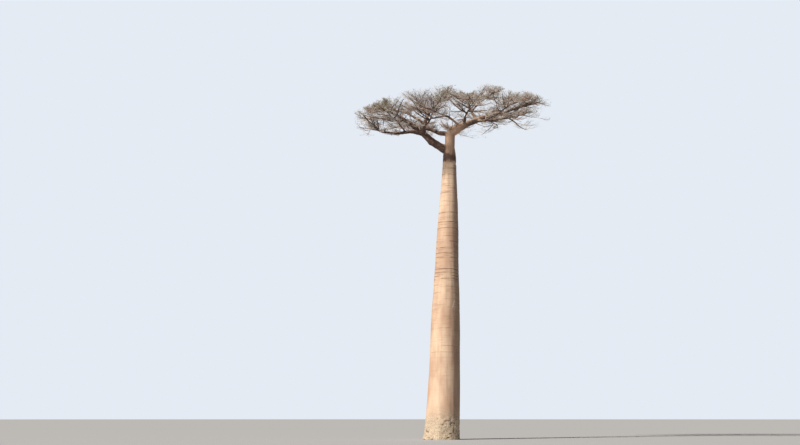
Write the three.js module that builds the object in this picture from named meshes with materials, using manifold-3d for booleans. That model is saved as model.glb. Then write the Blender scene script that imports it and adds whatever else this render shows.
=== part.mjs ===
// A tall Madagascan baobab in the dry season: a leaning column of a trunk, two heavy boughs at its top, and a
// wide, flat, almost leafless crown.
// Millimetres, +Z up. Seen as in the reference picture, +X is to the right and +Y is away from the viewer.
// The origin is the middle of the trunk's foot, on the ground.
import * as THREE from "three";
import { mergeVertices } from "three/addons/utils/BufferGeometryUtils.js";
import Module from "manifold-3d";

const wasm = await Module();
wasm.setup();

const { cos, sin, exp, min, max, sqrt, PI } = Math;
const { lerp, smoothstep } = THREE.MathUtils;

const M = 1000; // a metre
const DEGREE = PI / 180;
const FULL_TURN = 2 * PI;
const UP = new THREE.Vector3(0, 0, 1);

const CLEARANCE = 0.3; // between a limb and what carries it

// The trunk: a column that narrows slowly, and a slimmer leader between the lower fork and the upper one.
const TRUNK_HEIGHT = 23.3 * M;
const FOOT_RADIUS = 1.225 * M;
const NECK_RADIUS = 0.51 * M;
const NECK_HEIGHT = 21 * M;
const LEADER_RADIUS = 0.37 * M;
const LEADER_HEIGHT = 22.2 * M;
const TAPER_POWER = 1.6;
const LEAN = 0.76 * M; // how far the top stands to the right of the foot
const LEAN_POWER = 0.92;
const SWELLING = 0.018; // of the radius, where the column bulges and draws in
const SWELLINGS = 3.2; // bulges up the trunk
const DOME = 0.34 * M; // the height over which the trunk's top rounds off
const DOME_TOP = 0.35; // of the leader's radius, left flat at the very top

// The root flare: a skirt that is widest on the left, with buttress ridges.
const FLARE = 0.26 * M;
const FLARE_HEIGHT = 0.75 * M;
const FLARE_SIDE = 190 * DEGREE;
const FLARE_EVENNESS = 0.6; // the rest of the flare is all on its side
const RIDGES = 7;
const RIDGE_DEPTH = 0.34; // of the flare

const TRUNK_SIDES = 28;
const TRUNK_STEPS = 20;
const TRUNK_CROWDING = 0.12; // draws the steps together at the flare and at the forks

// Limbs are cubic curves that leave and arrive at a stated climb.
const HANDLE = 0.36; // of the limb's straight length, from each end to its control point
const SWAY = [-14, 14]; // degrees that a limb's root and tip turn off its heading
const COLLAR = 0.25; // how much wider a limb is where it leaves its carrier, as a share
const COLLAR_LENGTH = 1.6; // in root radii
const SEAT = 0.6; // of its girth, at the hidden end inside its carrier
const HEAVY_GIRTH = 0.3 * M;
const HEAVY_LIMB = { sides: 8, steps: 7 };
const LIGHT_LIMB = { sides: 6, steps: 5 };

// Every limb: what carries it and at what share of that one's length. Then its heading in degrees from +X,
// anticlockwise from above, how far out and how high its tip lies from its root, its climb in degrees and its
// girth, each at root and tip, and the turn, reach and rise of the twigs that carry it on. Lengths in metres.
const LIMBS = {
  bough_left: {
    from: "trunk", at: 0.933, heading: 188, out: 4.1, rise: 2.7,
    climb: [18, 22], girth: [0.66, 0.2],
    twigs: { turn: -3, out: 2.2, rise: 0.45 },
  },
  bough_right: {
    from: "trunk", at: 0.99, heading: -4, out: 4.3, rise: 1.7,
    climb: [36, 14], girth: [0.66, 0.2],
    twigs: { turn: 0, out: 2.7, rise: 0.8 },
  },
  limb_rising_left: {
    from: "bough_left", at: 0.5, heading: 30, out: 0.95, rise: 2.25,
    climb: [88, 50], girth: [0.34, 0.17],
    twigs: { turn: -34, out: 2, rise: 1 },
  },
  limb_upper_left: {
    from: "limb_rising_left", at: 0.3, heading: 165, out: 1.7, rise: 1.2,
    climb: [50, 24], girth: [0.22, 0.13],
    twigs: { turn: 4, out: 2.1, rise: 0.1 },
  },
  limb_low_left: {
    from: "bough_left", at: 0.48, heading: 202, out: 2.8, rise: -0.15,
    climb: [20, -4], girth: [0.34, 0.17],
    twigs: { turn: -9, out: 2, rise: 1.3 },
  },
  limb_far_left: {
    from: "trunk", at: 0.99, heading: 140, out: 3, rise: 1.1,
    climb: [10, 24], girth: [0.38, 0.17],
    twigs: { turn: 5, out: 3.3, rise: 0.3 },
  },
  limb_side_left: {
    from: "bough_left", at: 0.7, heading: 140, out: 1.4, rise: 0.7,
    climb: [30, 18], girth: [0.2, 0.13],
    twigs: { turn: 26, out: 3.1, rise: 0.1 },
  },
  limb_near_left: {
    from: "limb_low_left", at: 0.5, heading: 245, out: 1.2, rise: 0.2,
    climb: [10, 18], girth: [0.2, 0.12],
    twigs: { turn: -6, out: 3, rise: 0.75 },
  },
  limb_near_middle: {
    from: "bough_left", at: 0.5, heading: 278, out: 1.9, rise: 0.35,
    climb: [16, 12], girth: [0.28, 0.14],
    twigs: { turn: 0, out: 3.3, rise: 0.8 },
  },
  limb_near_right: {
    from: "bough_right", at: 0.28, heading: -90, out: 1.8, rise: 0.2,
    climb: [18, 10], girth: [0.26, 0.14],
    twigs: { turn: 0, out: 3.5, rise: 0.6 },
  },
  limb_low_right: {
    from: "bough_right", at: 0.45, heading: -28, out: 2.2, rise: -0.15,
    climb: [-4, -6], girth: [0.22, 0.13],
    twigs: { turn: 12, out: 2.3, rise: 0.55 },
  },
  limb_front_right: {
    from: "limb_low_right", at: 0.4, heading: -63, out: 1.6, rise: 0.1,
    climb: [8, 14], girth: [0.16, 0.11],
    twigs: { turn: 24, out: 3.1, rise: 0.6 },
  },
  limb_rising_right: {
    from: "bough_right", at: 0.46, heading: 140, out: 0.45, rise: 1.3,
    climb: [86, 62], girth: [0.3, 0.16],
    twigs: { turn: -40, out: 1.5, rise: 1.1 },
  },
  limb_top_right: {
    from: "limb_rising_right", at: 0.6, heading: -20, out: 0.8, rise: 0.7,
    climb: [58, 40], girth: [0.18, 0.12],
    twigs: { turn: 3, out: 1.4, rise: 0.7 },
  },
  limb_inner: {
    from: "bough_right", at: 0.2, heading: 214, out: 1.9, rise: 0.8,
    climb: [36, 12], girth: [0.22, 0.12],
    twigs: { turn: 12, out: 2.6, rise: 0.5 },
  },
  limb_far: {
    from: "trunk", at: 0.975, heading: 85, out: 2.1, rise: 1.4,
    climb: [30, 22], girth: [0.3, 0.14],
    twigs: { turn: 0, out: 3.4, rise: 0.4 },
  },
  limb_far_middle: {
    from: "limb_far_left", at: 0.6, heading: 97, out: 1.4, rise: 0.6,
    climb: [28, 20], girth: [0.22, 0.13],
    twigs: { turn: 10, out: 3, rise: 0.1 },
  },
  limb_far_right: {
    from: "bough_right", at: 0.36, heading: 60, out: 2, rise: 0.8,
    climb: [26, 20], girth: [0.24, 0.14],
    twigs: { turn: 2, out: 3.5, rise: 0.15 },
  },
  limb_back_right: {
    from: "bough_right", at: 0.62, heading: 42, out: 1.8, rise: 0.5,
    climb: [22, 16], girth: [0.2, 0.13],
    twigs: { turn: -9, out: 3.1, rise: 0.4 },
  },
  limb_crown_right: {
    from: "bough_right", at: 0.72, heading: 25, out: 1, rise: 0.9,
    climb: [58, 40], girth: [0.16, 0.11],
    twigs: { turn: -6, out: 1.3, rise: 0.5 },
  },
  limb_top_left: {
    from: "limb_rising_left", at: 0.62, heading: 125, out: 1.3, rise: 0.75,
    climb: [54, 36], girth: [0.16, 0.11],
    twigs: { turn: 24, out: 2, rise: 0.15 },
  },
};

// Each mass of twigs is a flat pad round one stem, which carries the limb on to the crown's edge.
const CROWN_TOP = 26.9 * M; // no twig reaches higher
const CROWN_MIDDLE = 1.9 * M; // where on X the crown is highest
const CROWN_FALL = { x: 0.031 / M, y: 0.065 / M }; // how its top falls off with the square of a distance
const FLATNESS = 1.7; // height counts this many times more than breadth in a pad's own space
const PAD_SPREAD = 0.72; // the pad's radius, as a share of its stem's length
const PAD_MARGIN = 0.9 * M;
const PAD_CENTRE = 0.55; // where on its stem the pad is centred
const STEM_TIP = 0.02 * M; // the radius to which a stem narrows
const STEM_HANDLE = 0.45; // of the stem's length, over which it keeps the limb's direction
const STEM = { sides: 5, steps: 4 };

// Side twigs branch by the same rule in every order.
const FIRST_SHOOT = 0.1; // no side twig springs nearer its parent's root than this share
const GOLDEN = 0.618034; // spaces side twigs evenly, however many there are
const SPREAD_ANGLE = [40, 76]; // degrees between a side twig and its parent, seen from above
const LIFT_ANGLE = [-22, 36]; // degrees added to half of the parent's climb
const TURN_UP = [0, 30]; // degrees by which a twig's end climbs more than its root
const LENGTH_SPAN = [0.75, 1.2];
const SHORTENING = 0.4; // of a side twig at its parent's tip, against one at the root
const NARROWING = 0.8; // of a parent's girth, by its tip
const SLENDERNESS = 0.8; // a side twig's girth against its parent's at that place, at most
const TWIG_CLEARANCE = 0.03 * M;
const CUTS = [1, 0.8, 0.62, 0.45, 0.3]; // the lengths at which a twig is tried, from its full one down
const TWIG_SAMPLES = [0, 0.25, 0.5, 0.75, 1]; // where along a twig its room is tested
const ROD_SAMPLES = 10; // straight rods that stand for a limb or stem in that test
const TWIG_SIDES = 3;

// For each order of side twigs: how many spring from a parent, their length as a share of it, their girth at
// the root, and the steps that each is drawn with.
const ORDERS = [
  { shoots: 8, length: 1.05, girth: 0.1 * M, steps: 2 },
  { shoots: 2, length: 0.62, girth: 0.06 * M, steps: 1 },
];

const BARK_COLOUR = 0xb08c70;
const LIMB_COLOUR = 0x8c7261;
const TWIG_COLOUR = 0x8a7d70;

// Seeded chance

// A repeatable number from 0 to 1 for a twig's seed and a place in its list of draws.
function draw(seed, place) {
  let h = Math.imul(seed ^ Math.imul(place + 1, 0x9e3779b1), 0x85ebca6b);
  h ^= h >>> 13;
  h = Math.imul(h, 0xc2b2ae35);
  h ^= h >>> 16;
  return (h >>> 0) / 0x100000000;
}

const drawBetween = ([low, high], seed, place) => lerp(low, high, draw(seed, place));

const childSeed = (seed, place) => (Math.imul(seed, 0x01000193) + place + 1) >>> 0;

// Directions and curves

// The unit direction with a heading, anticlockwise from +X, and a climb above the level, both in degrees.
function direction(heading, climb) {
  const [h, c] = [heading * DEGREE, climb * DEGREE];
  return new THREE.Vector3(cos(h) * cos(c), sin(h) * cos(c), sin(c));
}

// A step out along a heading and up, in metres.
const offset = (heading, out, rise) => direction(heading, 0).multiplyScalar(out * M).setZ(rise * M);

// Points along a curve, each with the curve's direction and a sideways one that turns only as the curve does.
function framesAlong(curve, steps) {
  const frames = [];
  for (let i = 0; i <= steps; i++) {
    const at = curve.getPoint(i / steps);
    const along = curve.getTangent(i / steps);
    const last = frames[i - 1];
    const side = last
      ? last.side.clone().applyQuaternion(new THREE.Quaternion().setFromUnitVectors(last.along, along))
      : new THREE.Vector3().crossVectors(along, UP).normalize();
    frames.push({ at, along, side, back: new THREE.Vector3().crossVectors(side, along) });
  }
  return frames;
}

// Bends an upright cylinder or cone of unit height onto a curve, and swells it by a factor that goes with the
// share of the curve's length.
function bend(geometry, curve, steps, swell = () => 1) {
  const frames = framesAlong(curve, steps);
  const positions = geometry.attributes.position;
  for (let i = 0; i < positions.count; i++) {
    const share = positions.getY(i) + 0.5;
    const { at, side, back } = frames[Math.round(share * steps)];
    const point = at
      .clone()
      .addScaledVector(side, positions.getX(i) * swell(share))
      .addScaledVector(back, positions.getZ(i) * swell(share));
    positions.setXYZ(i, point.x, point.y, point.z);
  }
  return geometry;
}

// Solids

function solidOf(geometry) {
  geometry.deleteAttribute("normal");
  geometry.deleteAttribute("uv");
  const merged = mergeVertices(geometry, 1e-3);
  return new wasm.Manifold(
    new wasm.Mesh({
      numProp: 3,
      vertProperties: merged.attributes.position.array,
      triVerts: new Uint32Array(merged.index.array),
    }),
  );
}

function geometryOf(solid) {
  const mesh = solid.getMesh();
  const geometry = new THREE.BufferGeometry();
  geometry.setAttribute("position", new THREE.BufferAttribute(mesh.vertProperties, mesh.numProp));
  geometry.setIndex(new THREE.BufferAttribute(mesh.triVerts, 1));
  geometry.computeVertexNormals();
  return geometry;
}

// The largest body of a solid: a scrap cut loose from it is dropped, and a hollow sealed inside it is filled.
const mainBody = (solid) => solid.decompose().reduce((a, b) => (b.volume() > a.volume() ? b : a));

// The trunk

function trunkCentre(share) {
  return new THREE.Vector3(LEAN * share ** LEAN_POWER, 0, TRUNK_HEIGHT * share);
}

// The trunk's radius without its flare.
function columnRadius(share) {
  const z = TRUNK_HEIGHT * share;
  const column = lerp(FOOT_RADIUS, NECK_RADIUS, min(z / NECK_HEIGHT, 1) ** TAPER_POWER);
  const stepped = lerp(column, LEADER_RADIUS, smoothstep(z, NECK_HEIGHT, LEADER_HEIGHT));
  const swell = 1 + SWELLING * sin(FULL_TURN * SWELLINGS * share);
  const intoDome = max(0, 1 - (TRUNK_HEIGHT - z) / DOME);
  return stepped * swell * lerp(DOME_TOP, 1, sqrt(1 - intoDome ** 2));
}

function flareDepth(share, angle) {
  const toSide = lerp(cos(angle - FLARE_SIDE), 1, FLARE_EVENNESS);
  const ridged = 1 + RIDGE_DEPTH * cos(RIDGES * angle);
  return FLARE * toSide * ridged * exp((-TRUNK_HEIGHT * share) / FLARE_HEIGHT);
}

function trunkSolid(extra = 0) {
  const geometry = new THREE.CylinderGeometry(1, 1, 1, TRUNK_SIDES, TRUNK_STEPS);
  const positions = geometry.attributes.position;
  for (let i = 0; i < positions.count; i++) {
    const [x, y, z] = [positions.getX(i), positions.getY(i) + 0.5, -positions.getZ(i)];
    const share = y - TRUNK_CROWDING * sin(FULL_TURN * y);
    const angle = Math.atan2(z, x);
    const radius = Math.hypot(x, z) * (columnRadius(share) + flareDepth(share, angle) + extra);
    const centre = trunkCentre(share);
    positions.setXYZ(i, centre.x + radius * cos(angle), radius * sin(angle), centre.z);
  }
  return solidOf(geometry);
}

// Limbs

class Limb {
  constructor(name, row, carrier, seed) {
    this.name = name;
    this.root = carrier.pointAt(row.at);
    this.tip = this.root.clone().add(offset(row.heading, row.out, row.rise));
    this.end = this.tip.clone().add(offset(row.heading + row.twigs.turn, row.twigs.out, row.twigs.rise));
    this.length = this.root.distanceTo(this.tip);
    [this.rootRadius, this.tipRadius] = row.girth.map((girth) => (girth * M) / 2);
    const [leave, arrive] = row.climb.map((climb, i) =>
      direction(row.heading + drawBetween(SWAY, seed, i), climb).multiplyScalar(this.length * HANDLE),
    );
    const controls = [this.root.clone().add(leave), this.tip.clone().sub(arrive)];
    this.curve = new THREE.CubicBezierCurve3(this.root, ...controls, this.tip);
  }

  pointAt(share) {
    return this.curve.getPoint(share);
  }

  collar(share) {
    return 1 + COLLAR * exp((-share * this.length) / (COLLAR_LENGTH * this.rootRadius));
  }

  radiusAt(share) {
    return lerp(this.rootRadius, this.tipRadius, share) * this.collar(share);
  }

  // The limb's whole form, thicker all round by extra, with its root end inside its carrier.
  form(extra = 0) {
    const { sides, steps } = 2 * this.rootRadius < HEAVY_GIRTH ? LIGHT_LIMB : HEAVY_LIMB;
    const radii = [this.tipRadius + extra, this.rootRadius + extra];
    const geometry = new THREE.CylinderGeometry(...radii, 1, sides, steps);
    return solidOf(bend(geometry, this.curve, steps, (share) => (share ? this.collar(share) : SEAT)));
  }
}

function growLimbs() {
  const carriers = new Map([["trunk", { pointAt: trunkCentre }]]);
  const rows = Object.entries(LIMBS);
  rows.forEach(([name, row], i) => carriers.set(name, new Limb(name, row, carriers.get(row.from), i + 1)));
  return rows.map(([name]) => carriers.get(name));
}

// Each limb is cut clear of the trunk and of every limb made before it.
function seatLimbs(limbs) {
  const made = [trunkSolid(CLEARANCE)];
  return limbs.map((limb) => {
    const seated = made.reduce((solid, other) => solid.subtract(other), limb.form());
    made.push(limb.form(CLEARANCE));
    return mainBody(seated);
  });
}

// Twigs

// A twig leaves its root along one direction and has turned to another by its tip.
class Twig {
  constructor({ root, middle, tip, radius, seed }) {
    Object.assign(this, { root, tip, radius, seed });
    this.curve = new THREE.QuadraticBezierCurve3(root, middle, tip);
    this.length = root.distanceTo(middle) + middle.distanceTo(tip);
  }

  form(sides, steps, tipRadius = 0) {
    const geometry = new THREE.CylinderGeometry(tipRadius, this.radius, 1, sides, steps);
    return solidOf(bend(geometry, this.curve, steps));
  }
}

// The stem that carries a limb on from its tip, a clearance beyond it, to the far end of its mass.
function stemOf(limb, seed) {
  const along = limb.curve.getTangent(1);
  const root = limb.tip.clone().addScaledVector(along, CLEARANCE);
  const middle = root.clone().addScaledVector(along, root.distanceTo(limb.end) * STEM_HANDLE);
  return new Twig({ root, middle, tip: limb.end, radius: limb.tipRadius, seed });
}

// The side twig of an order at one place on its parent: places alternate from side to side.
function sideTwig(parent, order, place, cut) {
  const seed = childSeed(parent.seed, place);
  const spacing = (place + 1) * GOLDEN + draw(parent.seed, 0);
  const share = lerp(FIRST_SHOOT, 1, spacing - Math.floor(spacing));
  const along = parent.curve.getTangent(share);
  const root = parent.curve.getPoint(share);
  const side = place % 2 ? 1 : -1;
  const heading = Math.atan2(along.y, along.x) / DEGREE + side * drawBetween(SPREAD_ANGLE, seed, 1);
  const climb = Math.asin(along.z) / DEGREE / 2 + drawBetween(LIFT_ANGLE, seed, 2);
  const size = cut * order.length * drawBetween(LENGTH_SPAN, seed, 4) * (1 - SHORTENING * share);
  const half = (parent.length * size) / 2;
  const middle = root.clone().addScaledVector(direction(heading, climb), half);
  const turned = climb + drawBetween(TURN_UP, seed, 3);
  const tip = middle.clone().addScaledVector(direction(heading, turned), half);
  const radius = min(order.girth / 2, parent.radius * (1 - NARROWING * share) * SLENDERNESS);
  return new Twig({ root, middle, tip, radius, seed });
}

// Masses of twigs

// Distance in which height counts more than breadth.
const padDistance = (a, b) => Math.hypot(a.x - b.x, a.y - b.y, (a.z - b.z) * FLATNESS);

// The height of the crown's domed top over a point.
const crownTop = ({ x, y }) => CROWN_TOP - CROWN_FALL.x * (x - CROWN_MIDDLE) ** 2 - CROWN_FALL.y * y ** 2;

// A twig's point is in its mass's own space where that is nearer than every other mass's, within the pad.
function inOwnSpace(point, radius, mass, others) {
  const own = padDistance(point, mass.centre);
  return (
    own < mass.spread &&
    others.every((other) => {
      const beyond = padDistance(point, other.centre) ** 2 - own ** 2;
      return beyond / (2 * padDistance(mass.centre, other.centre)) > radius + TWIG_CLEARANCE;
    })
  );
}

// A limb or stem as a chain of straight rods.
function rodsOf(curve, radiusAt) {
  const points = curve.getPoints(ROD_SAMPLES);
  return points.slice(1).map((point, i) => ({
    line: new THREE.Line3(points[i], point),
    radius: radiusAt(i / ROD_SAMPLES),
  }));
}

function touches(point, radius, rods) {
  const nearest = new THREE.Vector3();
  return rods.some((rod) => {
    rod.line.closestPointToPoint(point, true, nearest);
    return nearest.distanceTo(point) < rod.radius + radius + TWIG_CLEARANCE;
  });
}

function massOf(limb, seed) {
  const stem = stemOf(limb, seed);
  return {
    name: limb.name.replace(/^(bough|limb)/, "twigs"),
    stem,
    centre: stem.curve.getPoint(PAD_CENTRE),
    spread: stem.length * PAD_SPREAD + PAD_MARGIN,
    rods: rodsOf(stem.curve, (share) => lerp(stem.radius, STEM_TIP, share)),
  };
}

// Grows every mass's twigs, order by order. A twig that would leave its mass's space or touch a limb is grown
// shorter, or left out with all that would spring from it.
function growMasses(limbs) {
  const masses = limbs.map((limb, i) => massOf(limb, i + 1));
  const limbRods = limbs.flatMap((limb) => rodsOf(limb.curve, (share) => limb.radiusAt(share)));
  for (const mass of masses) {
    const others = masses.filter((other) => other !== mass);
    const rods = [...limbRods, ...others.flatMap((other) => other.rods)];
    const fits = (twig) =>
      TWIG_SAMPLES.every((share) => {
        const point = twig.curve.getPoint(share);
        const under = point.z + twig.radius < crownTop(point);
        return under && inOwnSpace(point, twig.radius, mass, others) && !touches(point, twig.radius, rods);
      });
    mass.orders = [];
    let parents = [mass.stem];
    for (const order of ORDERS) {
      const places = [...Array(order.shoots).keys()];
      const shoot = (parent, place) => CUTS.map((cut) => sideTwig(parent, order, place, cut)).find(fits);
      parents = parents.flatMap((parent) => places.map((place) => shoot(parent, place)).filter(Boolean));
      mass.orders.push(parents);
    }
  }
  return masses;
}

function massSolid(mass) {
  const stem = mass.stem.form(STEM.sides, STEM.steps, STEM_TIP);
  const sprays = mass.orders.map((twigs, i) => twigs.map((twig) => twig.form(TWIG_SIDES, ORDERS[i].steps)));
  return mainBody(wasm.Manifold.union([stem, ...sprays.flat()]));
}

// The tree

function piece(name, solid, color, roughness) {
  const material = new THREE.MeshStandardMaterial({ color, roughness, metalness: 0 });
  const mesh = new THREE.Mesh(geometryOf(solid), material);
  mesh.name = name;
  return mesh;
}

const limbs = growLimbs();
const tree = new THREE.Group();
tree.name = "baobab";
tree.add(piece("trunk", trunkSolid(), BARK_COLOUR, 0.75));
seatLimbs(limbs).forEach((solid, i) => tree.add(piece(limbs[i].name, solid, LIMB_COLOUR, 0.8)));
for (const mass of growMasses(limbs)) tree.add(piece(mass.name, massSolid(mass), TWIG_COLOUR, 0.85));

export default tree;
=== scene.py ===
import itertools
from dataclasses import dataclass
from functools import cached_property

import bpy
import numpy as np
from bpy.props import FloatProperty, FloatVectorProperty, PointerProperty
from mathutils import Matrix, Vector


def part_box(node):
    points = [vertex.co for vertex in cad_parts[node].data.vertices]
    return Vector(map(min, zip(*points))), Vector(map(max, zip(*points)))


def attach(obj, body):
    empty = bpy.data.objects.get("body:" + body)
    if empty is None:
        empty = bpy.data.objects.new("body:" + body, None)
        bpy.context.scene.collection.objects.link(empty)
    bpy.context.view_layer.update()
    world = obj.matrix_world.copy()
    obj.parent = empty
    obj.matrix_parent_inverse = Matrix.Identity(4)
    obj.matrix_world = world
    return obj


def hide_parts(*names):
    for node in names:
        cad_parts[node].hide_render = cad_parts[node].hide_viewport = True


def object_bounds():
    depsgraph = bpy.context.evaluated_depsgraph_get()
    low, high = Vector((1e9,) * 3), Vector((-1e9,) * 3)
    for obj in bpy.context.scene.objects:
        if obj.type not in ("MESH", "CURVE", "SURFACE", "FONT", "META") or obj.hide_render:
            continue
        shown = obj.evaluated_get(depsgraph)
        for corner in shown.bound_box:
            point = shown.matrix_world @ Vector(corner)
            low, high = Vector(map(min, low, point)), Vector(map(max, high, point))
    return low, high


bl_info = {
    "name": "Baobab tree",
    "version": (1, 0, 0),
    "blender": (4, 5, 0),
    "location": "View3D > Sidebar > Baobab",
    "description": "Dresses a tall dry-season baobab: its ringed trunk, limbs, branches and fine twigs",
    "category": "Add Mesh",
}

# Metres, +Z up. Seen as in the reference picture, +X is to the right and +Y is away from the viewer.
# The origin is the middle of the trunk's foot, on the ground.
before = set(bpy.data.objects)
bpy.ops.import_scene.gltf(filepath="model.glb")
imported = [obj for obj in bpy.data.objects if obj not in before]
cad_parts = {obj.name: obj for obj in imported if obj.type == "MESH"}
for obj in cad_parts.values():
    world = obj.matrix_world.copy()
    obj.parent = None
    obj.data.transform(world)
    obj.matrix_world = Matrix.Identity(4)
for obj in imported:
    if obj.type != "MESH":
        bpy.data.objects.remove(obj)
cad_box = np.array(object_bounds())

BODY = "root"
FULL_TURN = 2 * np.pi
EAST = np.array([1.0, 0.0, 0.0])
UP = np.array([0.0, 0.0, 1.0])
STEEP = 0.9  # the upward part from which a curve's rings are squared up by +X instead of +Z
TRUNK_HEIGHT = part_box("trunk")[1].z
CLEARANCE = 0.0003  # between a limb's tip and the stem that carries it on

# The trunk: a column that narrows slowly, with a skirt of buttress ridges that is widest on the left.
TAPER_POWER, LEAN_POWER = 1.6, 0.92
SWELLING, SWELLINGS = 0.018, 3.2  # how far the column bulges, as a share of its radius, and how often
DOME, DOME_TOP = 0.34, 0.35  # height of the trunk's rounded top, and the share of its radius left flat
FLARE_SIDE, FLARE_EVENNESS = np.radians(190), 0.6  # the rest of the flare is all on its side
RIDGES, RIDGE_DEPTH = 7, 0.34  # the depth as a share of the flare
SHOULDER_ROUND, SHOULDER_TOP = 0.04, 0.8  # the same for the column's top, under the lower fork
COLUMN_SIDES = 112
FOOT_STEP, SMOOTH_STEP, RINGED_STEP = 0.021, 0.034, 0.024  # between the column's rings of points
SMOOTH_FROM, SMOOTH_TO = 2.3, 6.5
SHOULDER_STEPS = np.array([0.9, 0.6, 0.35, 0.15, 0.04, 0])  # shares of its rounding, down from its top

# The bark's level rings. Clear ones lie at the heights where the picture shows them, with faint ones between.
CLEAR_RINGS = (11.75, 11.98, 12.25, 12.5, 13.4, 13.7, 14.15, 14.6, 15.6, 16.1, 16.8, 18.4, 18.9, 19.8, 20.3)
FAINT_RINGS = (4.6, 20.4)
FAINT_SPACING, FAINT_DEPTH = (0.22, 0.6), (0.2, 0.5)
DEPTH_SEED, SPACING_SEED, WAVE_SEED, BREAK_SEED = 11, 12, 20, 31
RING_WAVER = 0.018  # how far a ring strays from its level
RING_WAVES = (1, 2, 3, 5)  # to a turn
RING_BREAK = 0.6  # size of the stretches over which a ring shows or fades, in radii
RING_APART = 7.3  # in the noise, so that no two rings break alike
RING_SPAN, DEEP_SHARE = (-0.2, 0.3), 0.2  # the noise over which a ring sets in, and what its depth adds
LIP_PLACE, LIP_WIDTH, LIP_HEIGHT = 2.2, 1.2, 0.35  # in ring widths, and as a share of the ring's depth

# Relief in layers of noise, each with its strength, the size of its lumps and its seed.
UNEVENNESS = ((0.012, (1.4, 1.4, 1.1), 7),)  # of the radius
FLUTES = ((1, (0.5, 0.5, 5.0), 1), (0.5, (0.24, 0.24, 2.2), 2))
CREASES = ((1, (0.55, 0.55, 0.09), 3),)
LUMPS = ((1, 0.34, 4), (0.6, 0.16, 5))
PITS = ((1, (0.2, 0.2, 0.15), 6),)
FOLDS = ((0.7, 0.22, 41), (0.5, 0.1, 42))
KNOTS = ((1, 0.3, 43),)
CREASE_SPAN, PIT_SPAN, KNOT_SPAN = (0.1, 0.7), (0.28, 0.6), (0.45, 0.8)  # the noise over which these set in
CREASED_HEIGHTS, CREASES_BELOW = (6, 12), 0.25  # where creases deepen, and their share below that
# Painted shade in the creases
CREASE_SHADE = 0.35  # how dark a crease is, against a ring
PIT_DEPTH = 1.2  # against the lumps
KNOT_HEIGHT = 2.2  # against the folds
FOOT_FADE = 0.25  # of the rough foot's height, where it starts to fade

# Limbs are cubic curves that leave and arrive at a stated climb.
HANDLE = 0.36  # of the limb's straight length, from each end to its control point
SWAY = (-14, 14)  # degrees that a limb's root and tip turn off its heading
COLLAR, COLLAR_LENGTH = 0.25, 1.6  # how much wider a limb's root is, as a share, and for how many root radii
SEAT, SEAT_SPAN = 0.6, (-0.06, 0.12)  # share of its girth inside its carrier, and where that fills out
LIMB_SIDES, LIMB_STEP, LIMB_STEPS = 20, 0.07, 6  # the last is the fewest to a limb
FORK_SHARE = 0.08  # of a limb's length, where its fork is
FORK_REACH, FORK_MARGIN = 2.0, 0.15  # how far a fork is smoothed, in root radii and beyond that
FORK_SPAN = np.array([0.6, 1.4])  # of that reach, over which the smoothing fades
LIMB_SMOOTHING, LIMB_PULL = 2, 0.5  # how often and how far all points are drawn to their neighbours
FORK_SMOOTHING, FORK_PULL = 14, 0.6  # the same for a fork's points
NECK_FOOT, NECK_SHRINK = 20.5, 0.96  # where the limbs' own wood starts in the column, and how slim it is
NECK_GROWN = 20.9  # where it has the trunk's full radius
CROOKS, CROOK_STEP = 3, 0.45  # waves of crookedness, and each one's length against the last one's
CROOK_FADE = 3  # in straight reaches, where the crookedness is full

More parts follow.
